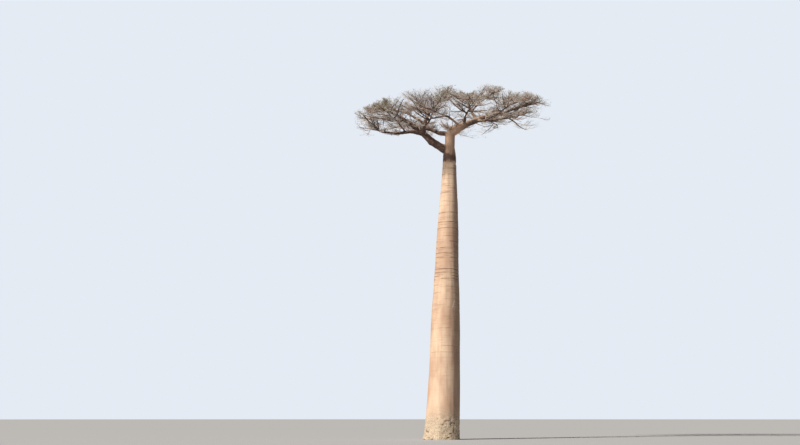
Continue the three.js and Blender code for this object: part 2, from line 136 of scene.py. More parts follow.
# Every limb: what carries it and at what share of that one's length. Then its heading in degrees from +X,
# anticlockwise from above, how far out and how high its tip lies from its root, its climb in degrees and its
# girth, each at root and tip, and the turn, reach and rise of the stem that carries it on.
LIMBS = {
    "bough_left": ("trunk", 0.933, 188, 4.1, 2.7, (18, 22), (0.66, 0.2), (-3, 2.2, 0.45)),
    "bough_right": ("trunk", 0.99, -4, 4.3, 1.7, (36, 14), (0.66, 0.2), (0, 2.7, 0.8)),
    "limb_rising_left": ("bough_left", 0.5, 30, 0.95, 2.25, (88, 50), (0.34, 0.17), (-34, 2, 1)),
    "limb_upper_left": ("limb_rising_left", 0.3, 165, 1.7, 1.2, (50, 24), (0.22, 0.13), (4, 2.1, 0.1)),
    "limb_low_left": ("bough_left", 0.48, 202, 2.8, -0.15, (20, -4), (0.34, 0.17), (-9, 2, 1.3)),
    "limb_far_left": ("trunk", 0.99, 140, 3, 1.1, (10, 24), (0.38, 0.17), (5, 3.3, 0.3)),
    "limb_side_left": ("bough_left", 0.7, 140, 1.4, 0.7, (30, 18), (0.2, 0.13), (26, 3.1, 0.1)),
    "limb_near_left": ("limb_low_left", 0.5, 245, 1.2, 0.2, (10, 18), (0.2, 0.12), (-6, 3, 0.75)),
    "limb_near_middle": ("bough_left", 0.5, 278, 1.9, 0.35, (16, 12), (0.28, 0.14), (0, 3.3, 0.8)),
    "limb_near_right": ("bough_right", 0.28, -90, 1.8, 0.2, (18, 10), (0.26, 0.14), (0, 3.5, 0.6)),
    "limb_low_right": ("bough_right", 0.45, -28, 2.2, -0.15, (-4, -6), (0.22, 0.13), (12, 2.3, 0.55)),
    "limb_front_right": ("limb_low_right", 0.4, -63, 1.6, 0.1, (8, 14), (0.16, 0.11), (24, 3.1, 0.6)),
    "limb_rising_right": ("bough_right", 0.46, 140, 0.45, 1.3, (86, 62), (0.3, 0.16), (-40, 1.5, 1.1)),
    "limb_top_right": ("limb_rising_right", 0.6, -20, 0.8, 0.7, (58, 40), (0.18, 0.12), (3, 1.4, 0.7)),
    "limb_inner": ("bough_right", 0.2, 214, 1.9, 0.8, (36, 12), (0.22, 0.12), (12, 2.6, 0.5)),
    "limb_far": ("trunk", 0.975, 85, 2.1, 1.4, (30, 22), (0.3, 0.14), (0, 3.4, 0.4)),
    "limb_far_middle": ("limb_far_left", 0.6, 97, 1.4, 0.6, (28, 20), (0.22, 0.13), (10, 3, 0.1)),
    "limb_far_right": ("bough_right", 0.36, 60, 2, 0.8, (26, 20), (0.24, 0.14), (2, 3.5, 0.15)),
    "limb_back_right": ("bough_right", 0.62, 42, 1.8, 0.5, (22, 16), (0.2, 0.13), (-9, 3.1, 0.4)),
    "limb_crown_right": ("bough_right", 0.72, 25, 1, 0.9, (58, 40), (0.16, 0.11), (-6, 1.3, 0.5)),
    "limb_top_left": ("limb_rising_left", 0.62, 125, 1.3, 0.75, (54, 36), (0.16, 0.11), (24, 2, 0.15)),
}

# The masses of twigs that each piece of sprays takes in.
SPRAYS = {
    "sprays_left": ("left", "low_left", "side_left", "upper_left"),
    "sprays_right": ("right", "low_right", "back_right", "crown_right"),
    "sprays_near": ("near_left", "near_middle", "near_right", "front_right"),
    "sprays_far": ("far_left", "far", "far_middle", "far_right"),
    "sprays_top": ("rising_left", "top_left", "rising_right", "top_right", "inner"),
}

# Each mass of twigs is a flat pad round one stem, which carries the limb on to the crown's edge.
CROWN_TOP = 26.9  # no twig reaches higher
CROWN_MIDDLE = np.array([1.9, 0])  # where the crown is highest
CROWN_FALL = np.array([0.031, 0.065])  # how its top falls off, in metres for each square metre on X and on Y
FLATNESS = 1.7  # height counts this many times more than breadth in a pad's own space
PAD_SPREAD, PAD_MARGIN = 0.72, 0.9  # the pad's radius as a share of its stem's length, and what is added
PAD_CENTRE = 0.55  # where on its stem the pad is centred
STEM_TIP = 0.02  # the radius to which a stem is grown
STEM_HANDLE = 0.45  # of the stem's length, over which it keeps the limb's direction

# Side twigs branch by the same rule in every order.
FIRST_SHOOT = 0.1  # no side twig springs nearer its parent's root than this share
GOLDEN = 0.618034  # spaces side twigs evenly, however many there are
SPREAD_ANGLE = (40, 76)  # degrees between a side twig and its parent, seen from above
LIFT_ANGLE = (-22, 36)  # degrees added to half of the parent's climb
TURN_UP = (0, 30)  # degrees by which a twig's end climbs more than its root
LENGTH_SPAN = (0.75, 1.2)
SHORTENING = 0.4  # of a side twig at its parent's tip, against one at the root
NARROWING = 0.8  # of a parent's girth, by its tip
SLENDERNESS = 0.8  # a side twig's girth against its parent's at that place, at most
TWIG_CLEARANCE = 0.03
CROWN_EDGE = 0.12  # how far a twig may be grown past the frame's box
CUTS = (1, 0.8, 0.62, 0.45, 0.3)  # shares of its full length at which a twig is tried, before it is left out
TWIG_SAMPLES = np.linspace(0, 1, 5)  # where along a twig its room is tested
ROD_SAMPLES = 10  # straight rods that stand for a limb or stem in that test
ROD_REACH = 2.5  # beyond a mass's own space, within which a rod can matter


@dataclass
class Order:
    """An order of side twigs: how many a parent has, their length as a share of it, their girth at the root
    and how far they may stray into a neighbour's space. Each is drawn with so many sides and steps, a share
    of its girth at its tip, so much stouter than grown, and a share of its length sunk below its root."""

    shoots: int
    length: float
    girth: float
    stray: float
    sides: int
    steps: int
    tip: float = 0.3
    stoutness: float = 1.0
    sunk: float = 0.0


# The first order is drawn with the branches, and the others make the sprays.
ORDERS = (
    Order(shoots=13, length=1.05, girth=0.1, stray=0, sides=7, steps=6, tip=0.4, stoutness=1.3),
    Order(shoots=9, length=0.62, girth=0.06, stray=0.25, sides=4, steps=4),
    Order(shoots=6, length=0.6, girth=0.047, stray=0.4, sides=3, steps=3),
    Order(shoots=6, length=0.6, girth=0.034, stray=0.4, sides=3, steps=1),
)
STEM = Order(shoots=1, length=1, girth=0, stray=0, sides=10, steps=16, tip=0.5, sunk=0.03)
LIMB_TWIGS = Order(shoots=12, length=0.8, girth=0.07, stray=1.5, sides=4, steps=4)
BARE_SHARE = 0.35  # of a limb's length, along which no twigs of its own spring
LIMB_TWIG_SEED = 1000  # added to a limb's seed for them
FINISH_SHARES = (0.42, 0.64, 0.84)  # where grey twigs give way to pale, those to brown and those to red

# Young leaves stand in tufts on some of the highest twigs. Each is a kite of two faces, folded at its middle.
TIP_ORDERS = (1, 2)  # the places, in a mass's list of sprays, of the twigs that bear them
LEAF_DEPTHS = (0.12, 0.8)  # how far below the crown's domed top they grow
LEAF_PATCH, LEAF_SCARCITY, LEAF_SEED = 0.7, 0.15, 51  # size of leafy patches, how scarce they are, their seed
LEAF_SHARE, OLIVE_SHARE = 0.09, 0.5  # of the twigs in a patch that have leaves, and of tufts that are darker
TUFT, LEAF_LENGTH, LEAF_WIDTH, LEAF_FOLD = 3, 0.09, 0.045, 0.01
LEAF_CLIMB = 50  # degrees, at most

# The stage
FLOOR_RADIUS, FLOOR_SIDES, FLOOR_ROUGHNESS = 900.0, 96, 0.9
KEY_CLIMB, KEY_HEADING = np.radians(34), np.radians(51)  # above the level, and left of the view's line
KEY_SOFTNESS, KEY_COLOUR = np.radians(9), (1.0, 0.93, 0.84)
LEVEL = np.radians(90)  # a light's or camera's turn about X at which it faces level
SENSOR_WIDTH = 36.0  # millimetres


# Seeded chance

WORD = 0xFFFFFFFF  # all sums are in whole numbers of 32 bits
SCRAMBLE = (0x9E3779B1, 0x85EBCA6B, 0xC2B2AE35)  # odd numbers that mix up a number's bits
SEED_STEP = 0x01000193  # from a twig's seed to its side twigs'
LATTICE = np.array([73856093, 19349663, 83492791])
# The places of a twig's draws in its list
PHASE, HEADING, LIFT, TURN, LENGTH = range(5)
FINISH, LEAFY, LEAF_HEADING, LEAF_LIFT, LEAF_SHADE = range(7, 12)


def draw(seed, place):
    """A repeatable number from 0 to 1 for each twig's seed and a place in its list of draws."""
    h = (seed ^ ((place + 1) * SCRAMBLE[0] & WORD)) * SCRAMBLE[1] & WORD
    h = (h ^ (h >> 13)) * SCRAMBLE[2] & WORD
    return (h ^ (h >> 16)) / (WORD + 1)


def draw_between(span, seed, place):
    return mix(*span, draw(seed, place))


def noise(points, size, seed):
    """Smooth noise from -1 to 1, with lumps of a size: one number, or one for each axis."""
    cell = points / size
    corner = np.floor(cell)
    near = ease((0, 1), cell - corner)
    total = 0
    for step in itertools.product((0, 1), repeat=3):
        lattice = np.bitwise_xor.reduce((corner + step).astype(np.int64) * LATTICE, axis=-1) & WORD
        share = np.prod(np.where(step, near, 1 - near), axis=-1)
        total = total + share * draw(lattice.astype(np.uint64), seed)
    return 2 * total - 1


def layered(points, layers):
    return sum(strength * noise(points, size, seed) for strength, size, seed in layers)


# Directions and curves


def mix(low, high, share):
    return low + (high - low) * share


def ease(span, value):
    """0 below a span and 1 above it, with a smooth step between them."""
    low, high = span
    share = np.clip((value - low) / (high - low), 0, 1)
    return share**2 * (3 - 2 * share)


def unit(vectors):
    return vectors / np.linalg.norm(vectors, axis=-1, keepdims=True)


def direction(heading, climb):
    """Unit directions with a heading, anticlockwise from +X, and a climb above the level, both in degrees."""
    h, c = np.radians(heading), np.radians(climb)
    return np.stack([np.cos(h) * np.cos(c), np.sin(h) * np.cos(c), np.sin(c) + 0 * h], axis=-1)


def offset(heading, out, rise):
    """A step out along a heading and up."""
    return direction(heading, 0) * out + UP * rise


def angles_round(sides):
    return np.arange(sides) / sides * FULL_TURN


def around(angle, height):
    """Points of a circle of radius 1, each at an angle and a height."""
    return np.stack(np.broadcast_arrays(np.cos(angle), np.sin(angle), height), axis=-1)


def point_at(controls, share):
    """Points of Bezier curves, each given by its control points, at a share of the way along."""
    share = np.asarray(share, float)[..., None, None]
    while controls.shape[-2] > 1:
        controls = mix(controls[..., :-1, :], controls[..., 1:, :], share)
    return controls[..., 0, :]


def tangent_at(controls, share):
    return unit(point_at(np.diff(controls, axis=-2), share))


def crooked(points, scene):
    """Bends the whole crown a little this way and that, alike for all that passes through a place, so that
    limbs and twigs are crooked and still meet. The trunk and the roots of the boughs stay as they are."""
    crown = scene.baobab_crown
    reach = np.hypot(points[..., 0] - scene.baobab_trunk.lean, points[..., 1])
    share = ease((crown.straight_reach, CROOK_FADE * crown.straight_reach), reach)[..., None]
    moved = points.copy()
    for wave in range(CROOKS):
        length = crown.crook_length * CROOK_STEP**wave
        across = [noise(points, length, 3 * wave + axis) for axis in range(3)]
        moved += share * crown.crookedness * length * np.stack(across, axis=-1)
    return moved


# Meshes


def disc_faces(sides):
    side = np.arange(1, sides - 1)
    return np.stack([0 * side, side, side + 1], axis=-1)


def tube_faces(rings, sides, pointed=False):
    """The triangles of one tube whose points are listed ring by ring, and then its tip if it has one."""
    side = np.arange(sides)
    after = (side + 1) % sides
    ring = np.arange(rings - 1)[:, None] * sides
    a, b = ring + side, ring + after
    walls = [np.stack([a, b, b + sides], -1), np.stack([a, b + sides, a + sides], -1)]
    root = disc_faces(sides)[:, [0, 2, 1]]
    tip = np.stack([side, after, 0 * side + sides], -1) if pointed else disc_faces(sides)
    return np.concatenate([*(wall.reshape(-1, 3) for wall in walls), root, (rings - 1) * sides + tip])


def rings_along(controls, shares, radii, sides):
    """Rings of points round Bezier curves, at shares of the way along, and the points that they go round."""
    points = point_at(controls[:, None], shares)
    along = tangent_at(controls[:, None], shares)
    steep = np.abs(along[:, :1, 2:]) > STEEP
    side = unit(np.cross(along, np.where(steep, EAST, UP)))[:, :, None]
    back = np.cross(along[:, :, None], side)
    turn = angles_round(sides)[:, None]
    return points[:, :, None] + radii[:, :, None, None] * (np.cos(turn) * side + np.sin(turn) * back), points


def twig_mesh(twigs, order):
    """The points and triangles of a set of twigs, each closed at its root and drawn to a point, and their
    finishes."""
    count = len(twigs.radius)
    shares = np.linspace(-order.sunk, 1, order.steps + 1)
    radii = order.stoutness * twigs.radius[:, None] * mix(1, order.tip, shares)
    rings, points = rings_along(twigs.controls, shares, radii, order.sides)
    walls = rings[:, :-1].reshape(count, order.steps * order.sides, 3)
    vertices = np.concatenate([walls, points[:, -1:]], axis=1)
    faces = tube_faces(order.steps, order.sides, pointed=True)
    every = faces[None] + (np.arange(count) * vertices.shape[1])[:, None, None]
    return vertices.reshape(-1, 3), every.reshape(-1, 3), np.repeat(twigs.finish, len(faces))


def loft(rings):
    """The points, triangles and finish of one tube round rings of points."""
    return rings.reshape(-1, 3), tube_faces(*rings.shape[-3:-1]), np.zeros(1, int)


def chained(rows):
    """One long array for each column of rows of arrays."""
    return [np.concatenate(values) for values in zip(*rows)]


def joined(parts):
    """One list of points, of triangles and of their finishes from several."""
    start = np.cumsum([0] + [len(vertices) for vertices, _, _ in parts])
    return chained((vertices, faces + first, rest) for (vertices, faces, rest), first in zip(parts, start))


def new_piece(name, vertices, faces, materials, finishes=0, smooth=True):
    """A mesh object of triangles, with a material for each number in finishes."""
    mesh = bpy.data.meshes.new(name)
    mesh.vertices.add(len(vertices))
    mesh.loops.add(faces.size)
    mesh.polygons.add(len(faces))
    mesh.loops.foreach_set("vertex_index", np.ascontiguousarray(faces, np.int32).ravel())
    mesh.polygons.foreach_set("loop_start", np.arange(0, faces.size, 3, dtype=np.int32))
    mesh.polygons.foreach_set("material_index", np.zeros(len(faces), np.int32) + finishes)
    mesh.polygons.foreach_set("use_smooth", np.full(len(faces), smooth))
    write_points(mesh, vertices)
    for material in materials:
        mesh.materials.append(material)
    piece = bpy.data.objects.new(name, mesh)
    bpy.context.scene.collection.objects.link(piece)
    return piece


def seat_piece(piece, nodes):
    """Hands a finished piece to the frame, in the place of the nodes that it stands for."""
    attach(piece, BODY)
    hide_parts(*nodes)


def read_points(mesh, what="co"):
    values = np.zeros(len(mesh.vertices) * 3, np.float32)
    mesh.vertices.foreach_get(what, values)
    return values.reshape(-1, 3).astype(float)


def write_points(mesh, points):
    mesh.vertices.foreach_set("co", np.ascontiguousarray(points, np.float32).ravel())
    mesh.update(calc_edges=True)


def mark(mesh, name, values):
    """Stores a number for each point of a mesh, which its material reads."""
    mesh.attributes.new(name, "FLOAT", "POINT").data.foreach_set("value", values.astype(np.float32).ravel())


# Sizes and colours


def number(name, default, description, **kind):
    return FloatProperty(name=name, default=default, description=description, **kind)


def metres(name, default, description):
    return number(name, default, description, unit="LENGTH", min=0)


def tint(name, default, description):
    kind = {"subtype": "COLOR", "min": 0, "max": 1}
    return FloatVectorProperty(name=name, default=default, description=description, **kind)


class TrunkSizes(bpy.types.PropertyGroup):
    """The trunk's form, which is the frame's, and the relief of its bark"""

    foot_radius: metres("Foot radius", 1.225, "Radius of the column at the ground, without its flare")
    neck_radius: metres("Neck radius", 0.51, "Radius of the column under the lower fork")
    neck_height: metres("Neck height", 21.0, "Where the column has narrowed to its neck")
    leader_radius: metres("Leader radius", 0.37, "Radius of the leader between the two forks")
    leader_height: metres("Leader height", 22.2, "Where the neck has narrowed to the leader")
    lean: metres("Lean", 0.76, "How far the top stands to the right of the foot")
    flare: metres("Flare", 0.26, "How far the roots' skirt stands out at the ground")
    flare_height: metres("Flare height", 0.75, "Height over which the skirt fades")
    shoulder: metres("Shoulder", 20.62, "Where the column ends in a rounded shoulder under the fork")
    ring_depth: metres("Ring depth", 0.03, "Depth of the deepest level rings in the bark")
    ring_width: metres("Ring width", 0.028, "Half of a ring's width")
    flute_depth: metres("Flute depth", 0.022, "Depth of the soft upright flutes")
    crease_depth: metres("Crease depth", 0.009, "Depth of the short level creases")
    foot_height: metres("Rough foot", 2.1, "Height of the rough, pitted bark at the foot")
    foot_relief: metres("Foot relief", 0.05, "Depth of the lumps and pits at the foot")


class CrownSizes(bpy.types.PropertyGroup):
    """How limbs and twigs bend, and the relief of their bark"""

    straight_reach: metres("Straight reach", 0.5, "Distance from the trunk within which nothing is bent")
    crookedness: number("Crookedness", 0.09, "How far limbs and twigs wander, as a share of the wave", min=0)
    crook_length: metres("Crook length", 1.1, "Length of the longest wave")
    voxel: metres("Fork grain", 0.026, "Size of the grid that the limbs are joined on at their forks")
    bark_relief: metres("Bark relief", 0.012, "Depth of the folds and knots in the limbs' bark")


class BarkColours(bpy.types.PropertyGroup):
    """The colours of bark, twigs and young leaves"""

    pale: tint("Pale bark", (0.80, 0.60, 0.44), "Smooth pinkish-tan bark of the trunk")
    deep: tint("Deep bark", (0.60, 0.40, 0.28), "Redder patches and streaks of the trunk")
    # Painted shade: darker brown streaks on the trunk's right side, which faces away from the key light
    painted_right_shade: tint("Weathered bark", (0.32, 0.21, 0.155), "Brown streaks on the trunk's right side")
    # Dark bark of the rings and faint lines, also used as painted shade in the grooves and creases
    ring: tint("Rings", (0.17, 0.105, 0.085), "The level rings and creases")
    foot: tint("Foot", (0.72, 0.60, 0.44), "Pale yellowish rough bark at the foot")
    scar: tint("Scar", (0.80, 0.70, 0.58), "The pale scar halfway up the trunk")
    # Painted shade in the pits of the foot
    pit: tint("Pits", (0.19, 0.14, 0.11), "Pits in the foot")
    # Painted shadow: the dark band round the neck under the lower fork, and the shaded limbs left of it
    painted_shadow: tint("Stain", (0.085, 0.05, 0.042), "The dark band over the lower fork, and the shaded limbs")
    # Painted light on the limbs' upper sides, and painted shade on their undersides
    limb_upper: tint("Limbs above", (0.44, 0.31, 0.23), "The limbs' upper sides")
    limb_painted_shade: tint("Limbs below", (0.075, 0.05, 0.042), "The limbs' undersides")
    twig_grey: tint("Grey twigs", (0.56, 0.495, 0.455), "Most of the twigs")
    twig_pale: tint("Pale twigs", (0.82, 0.75, 0.67), "The palest sprays")
    twig_brown: tint("Brown twigs", (0.21, 0.17, 0.15), "The darkest sprays")
    twig_red: tint("Red twigs", (0.52, 0.37, 0.315), "The reddest sprays")
    leaf_olive: tint("Olive leaves", (0.25, 0.27, 0.13), "The darker tufts of young leaves")
    leaf_light: tint("Light leaves", (0.40, 0.40, 0.20), "The lighter tufts of young leaves")


class StageSizes(bpy.types.PropertyGroup):
    """The floor, the light and the viewer's place"""

    eye_height: metres("Eye height", 1.6, "Height of the viewer's eye")
    distance: metres("Distance", 83.0, "From the viewer to the tree")
    sideways: number("Sideways", -3.1, "How far right the viewer is", unit="LENGTH")
    tilt: number("Tilt", np.radians(9.95), "Upward tilt of the view", subtype="ANGLE")
    lens: number("Lens", 50.0, "Focal length in millimetres", min=1)
    floor: tint("Floor", (0.62, 0.625, 0.64), "The plain pale floor")
    sky: tint("Backdrop", (0.78, 0.83, 0.90), "The plain pale backdrop")
    sun_strength: number("Key light", 4.2, "Strength of the key light", min=0)
    fill_strength: number("Fill light", 0.13, "Strength of the light all round", min=0)


# Materials


@dataclass
class Marks:
    """Marks on bark, which follow a noise: the size of its lumps, their stretch along X, Y and Z, its detail,
    the span of values over which the marks set in or fade, and how strongly they colour."""

    size: float
    stretch: tuple = (1, 1, 1)
    detail: float = 3.0
    span: tuple = (0, 1)
    strength: float = 1.0


# The trunk's bark
GRAIN = Marks(0.06, (1, 1, 0.6), detail=6.0)
PATCHES = Marks(1.1, (1, 1, 2.4), span=(0.36, 0.66))
STREAKS = Marks(0.13, (1, 1, 16), span=(0.46, 0.7), strength=0.5)
# Painted shade on the side that faces +X, away from the key light
RIGHT_SHADE = Marks(0.2, (1, 1, 14), span=(0.6, 1.3), strength=0.68)  # of the noise and the normal's X together
FOOT = Marks(0.8, span=(1.7, 3.2), strength=0.9)  # of heights
FOOT_WANDER = 1.4  # how far the noise shifts them
MOTTLE = Marks(0.075, detail=5.0, span=(0.36, 0.66), strength=0.55)
LINES = Marks(0.045, (12, 12, 1), detail=4.0, span=(0.56, 0.74), strength=0.3)
LINED_HEIGHTS, LINES_BELOW = (6.0, 12.0), 0.3  # where lines strengthen, and their share below that
LINE_RELIEF = 0.5
# Painted shade in the grooves and creases, over the rings' own darker bark
GROOVE_STRENGTH = 0.65
TRUNK_FINISH = (0.62, 0.25, 0.25, 0.014)  # roughness, what grain adds to it, specular level and relief

# The pale scar: its middle, half its size and the share of that which is full, on Z and on X
SCAR_HEIGHT, SCAR_LENGTH, SCAR_FULL_LENGTH = 9.9, 0.34, 0.6
SCAR_SIDE, SCAR_WIDTH, SCAR_FULL_WIDTH = 0.87, 0.06, 0.4
SCAR_SLANT = 0.25  # on X, for each metre of height
SCAR_FRONT = (-0.2, 0.0)  # on Y, where it ends toward the back
SCAR_STRENGTH = 0.8

# The limbs' bark, with painted light above, painted shade below and painted shadows. A band is the spans over
# which a mark sets in and fades, on Z for the neck and else on X.
LIMB_GRAIN = Marks(0.05, detail=6.0)
LIMB_PATCHES = Marks(0.5)
BLOTCHES = Marks(0.14, span=(0.5, 0.7), strength=0.4)
# Painted light on bark that faces up
LIT_SPAN, LIT_WANDER = (0.6, 1.5), 1.4  # of the patches and the normal's Z together
COLUMN_TOP = (21.05, 21.3)
# Painted shadow in a band round the neck, under the lower fork
NECK_SHADOW_BAND, NECK_SHADOW_STRENGTH = ((21.1, 21.45), (21.7, 22.1)), 0.88
NECK_EDGE = Marks(0.12, (1, 1, 2.5), strength=0.3)
EDGE_WANDER, SIDE_WANDER = 0.5, 0.8  # how far the patches shift the heights, and the places on X
# Painted shadow on the limbs left of the neck
SHADED_BAND, SHADED_STRENGTH = ((-2.6, -1.4), (0.0, 0.35)), 0.6
LEADER_BAND, LEADER_STRENGTH = ((0.3, 0.5), (1.6, 2.8)), 0.75
LEADER_DEPTH = (0.5, 0.9)  # on Y
LIMB_FINISH = (0.7, 0.2, 0.2, 0.012)

PLAIN_ROUGHNESS, PLAIN_SPECULAR = 0.8, 0.2
BUMP_STRENGTH = 0.6


class Socket:
    """An output of a shader node. Sums with numbers or other outputs add their Math nodes."""

    def __init__(self, shader, socket):
        self.shader = shader
        self.socket = socket

    def sum(self, operation, first, second=0.0):
        return self.shader.node("Math", {"operation": operation}, {0: first, 1: second})

    def __add__(self, other):
        return self.sum("ADD", self, other)

    def __radd__(self, other):
        return self.sum("ADD", other, self)

    def __sub__(self, other):
        return self.sum("SUBTRACT", self, other)

    def __rsub__(self, other):
        return self.sum("SUBTRACT", other, self)

    def __mul__(self, other):
        return self.sum("MULTIPLY", self, other)

    def __rmul__(self, other):
        return self.sum("MULTIPLY", other, self)

    def __abs__(self):
        return self.sum("ABSOLUTE", self)


def rgba(colour):
    return colour if isinstance(colour, Socket) else (*colour, 1)


class Shader:
    """The nodes of a material or a world, under construction."""

    def __init__(self, owner):
        owner.use_nodes = True
        self.owner = owner
        self.tree = owner.node_tree
        self.tree.nodes.clear()

    @cached_property
    def place(self):
        return self.node("TexCoord", output="Object")

    def node(self, kind, settings=None, inputs=None, output=0):
        """Adds a node, sets it up, feeds its inputs with values or outputs, and returns an output."""
        made = self.tree.nodes.new("ShaderNode" + kind)
        for name, value in (settings or {}).items():
            setattr(made, name, value)
        for name, value in (inputs or {}).items():
            if isinstance(value, Socket):
                self.tree.links.new(value.socket, made.inputs[name])
            else:
                made.inputs[name].default_value = value
        return Socket(self, made.outputs[output]) if made.outputs else None

    def noise(self, marks):
        scale = tuple(1 / (marks.size * times) for times in marks.stretch)
        place = self.node("VectorMath", {"operation": "MULTIPLY"}, {0: self.place, 1: scale})
        return self.node("TexNoise", {}, {"Vector": place, "Scale": 1.0, "Detail": marks.detail})

    def ramp(self, value, span):
        """0 below a span and 1 above it, with a smooth step between them."""
        settings = {"interpolation_type": "SMOOTHSTEP"}
        return self.node("MapRange", settings, {"Value": value, "From Min": span[0], "From Max": span[1]})

    def fall(self, value, span):
        return 1 - self.ramp(value, span)

    def marks(self, marks):
        return self.ramp(self.noise(marks), marks.span)

    def blend(self, share, first, second):
        """A colour between two, each given as a colour or an output."""
        return self.node("Mix", {"data_type": "RGBA"}, {0: share, 6: rgba(first), 7: rgba(second)}, output=2)

    def painted(self, colour, *coats):
        """A colour under coats of others, each with its share."""
        for share, coat in coats:
            colour = self.blend(share, colour, coat)
        return colour

    def axis(self, name, vector=None):
        return self.node("SeparateXYZ", {}, {0: vector or self.place}, output=name)

    def facing(self, name):
        """How much a surface faces along an axis, from -1 to 1."""
        return self.axis(name, self.node("NewGeometry", output="Normal"))

    def attribute(self, name):
        return self.node("Attribute", {"attribute_name": name}, output="Fac")

    def finish(self, colour, roughness, specular, height=None, relief=0.0):
        inputs = {"Base Color": rgba(colour), "Roughness": roughness, "Specular IOR Level": specular}
        if height:
            bump = {"Height": height, "Distance": relief, "Strength": BUMP_STRENGTH}
            inputs["Normal"] = self.node("Bump", {}, bump)
        self.node("OutputMaterial", {}, {"Surface": self.node("BsdfPrincipled", {}, inputs)})
        return self.owner

    def bark_finish(self, colour, grain, height, roughness, rougher, specular, relief):
        return self.finish(colour, roughness + rougher * grain, specular, height, relief)


def trunk_bark(colours):
    """Smooth pinkish-tan bark with darker level rings, painted shade on its right, paler and pitted at the
    foot, and painted shade in its grooves, creases and pits.
    """
    shader = Shader(bpy.data.materials.new("trunk_bark"))
    height = shader.axis("Z")
    grain = shader.noise(GRAIN)
    patches, streaks, mottle, lines = (shader.marks(marks) for marks in (PATCHES, STREAKS, MOTTLE, LINES))
    lines = (LINES_BELOW + (1 - LINES_BELOW) * shader.ramp(height, LINED_HEIGHTS)) * lines
    # Painted shade, streaked, on the side that faces away from the key light
    painted_right_shade = shader.ramp(shader.facing("X") + shader.noise(RIGHT_SHADE), RIGHT_SHADE.span)
    foot = shader.fall(height + FOOT_WANDER * shader.noise(FOOT), FOOT.span)
    colour = shader.painted(
        colours.pale,
        (patches, colours.deep),
        (STREAKS.strength * streaks, colours.deep),
        (RIGHT_SHADE.strength * painted_right_shade, colours.painted_right_shade),
        (FOOT.strength * foot, shader.blend(MOTTLE.strength * mottle, colours.foot, colours.ring)),
        (LINES.strength * lines, colours.ring),
        # The rings' darker bark and painted shade, as deep as the grooves and creases
        (GROOVE_STRENGTH * shader.attribute("groove"), colours.ring),
        # Painted shade in the pits
        (shader.attribute("pit"), colours.pit),
        (scar_mask(shader, height), colours.scar),
    )
    return shader.bark_finish(colour, grain, grain + LINE_RELIEF * lines + foot * mottle, *TRUNK_FINISH)


def scar_mask(shader, height):
    """Strong on the one pale upright scar on the side that the picture shows, and 0 elsewhere."""
    up = height - SCAR_HEIGHT
    across = shader.axis("X") - SCAR_SIDE - SCAR_SLANT * up
    narrow = shader.fall(abs(across), (SCAR_FULL_WIDTH * SCAR_WIDTH, SCAR_WIDTH))
    short = shader.fall(abs(up), (SCAR_FULL_LENGTH * SCAR_LENGTH, SCAR_LENGTH))
    return SCAR_STRENGTH * narrow * short * shader.fall(shader.axis("Y"), SCAR_FRONT)


def limb_bark(name, colours):
    """Matt grey-brown bark with painted light on the upper side and painted shade below, a painted shadow
    round the neck and on the shaded limbs left of it, and reddish on the leader."""
    shader = Shader(bpy.data.materials.new(name))
    across, away, height = (shader.axis(axis) for axis in "XYZ")
    grain = shader.noise(LIMB_GRAIN)
    patches = shader.noise(LIMB_PATCHES)
    ragged = height + EDGE_WANDER * patches + NECK_EDGE.strength * shader.noise(NECK_EDGE)
    wandering = across + SIDE_WANDER * patches
    # Painted light on bark that faces up, over painted shade below
    lit = shader.ramp(shader.facing("Z") + LIT_WANDER * patches, LIT_SPAN)
    shaded = shader.ramp(wandering, SHADED_BAND[0]) * shader.fall(across, SHADED_BAND[1])
    leader = shader.ramp(across, LEADER_BAND[0]) * shader.fall(wandering, LEADER_BAND[1])
    leader = leader * shader.fall(abs(away), LEADER_DEPTH)
    neck = shader.ramp(ragged, NECK_SHADOW_BAND[0]) * shader.fall(ragged, NECK_SHADOW_BAND[1])
    colour = shader.painted(
        colours.limb_painted_shade,
        (lit, colours.limb_upper),
        (BLOTCHES.strength * shader.marks(BLOTCHES), colours.deep),
        # Painted shadow on the shaded limbs left of the neck
        (SHADED_STRENGTH * shaded, colours.painted_shadow),
        (LEADER_STRENGTH * leader, colours.deep),
        # Painted shadow in a band round the neck
        (NECK_SHADOW_STRENGTH * neck, colours.painted_shadow),
        (shader.fall(ragged, COLUMN_TOP), shader.blend(patches, colours.pale, colours.deep)),
    )
    return shader.bark_finish(colour, grain, grain, *LIMB_FINISH)


def plain_finish(name, colour, roughness=PLAIN_ROUGHNESS):
    return Shader(bpy.data.materials.new(name)).finish(colour, roughness, PLAIN_SPECULAR)


# The trunk


def trunk_centre(sizes, share):
    share = np.asarray(share, float)
    return np.stack([sizes.lean * share**LEAN_POWER, 0 * share, TRUNK_HEIGHT * share], axis=-1)


def column_radius(sizes, share):
    """The trunk's radius without its flare: a column that narrows slowly, then a slimmer leader with a round
    top."""
    z = TRUNK_HEIGHT * share
    column = mix(sizes.foot_radius, sizes.neck_radius, np.minimum(z / sizes.neck_height, 1) ** TAPER_POWER)
    stepped = mix(column, sizes.leader_radius, ease((sizes.neck_height, sizes.leader_height), z))
    into_dome = np.clip(1 - (TRUNK_HEIGHT - z) / DOME, 0, 1)
    rounded = mix(DOME_TOP, 1, np.sqrt(1 - into_dome**2))
    return stepped * (1 + SWELLING * np.sin(FULL_TURN * SWELLINGS * share)) * rounded


def flare_depth(sizes, share, angle):
    to_side = mix(np.cos(angle - FLARE_SIDE), 1, FLARE_EVENNESS)
    ridged = 1 + RIDGE_DEPTH * np.cos(RIDGES * angle)
    return sizes.flare * to_side * ridged * np.exp(-TRUNK_HEIGHT * share / sizes.flare_height)


def column_points(sizes, angle, share, radius):
    return trunk_centre(sizes, share) + radius[..., None] * around(angle, 0 * radius)


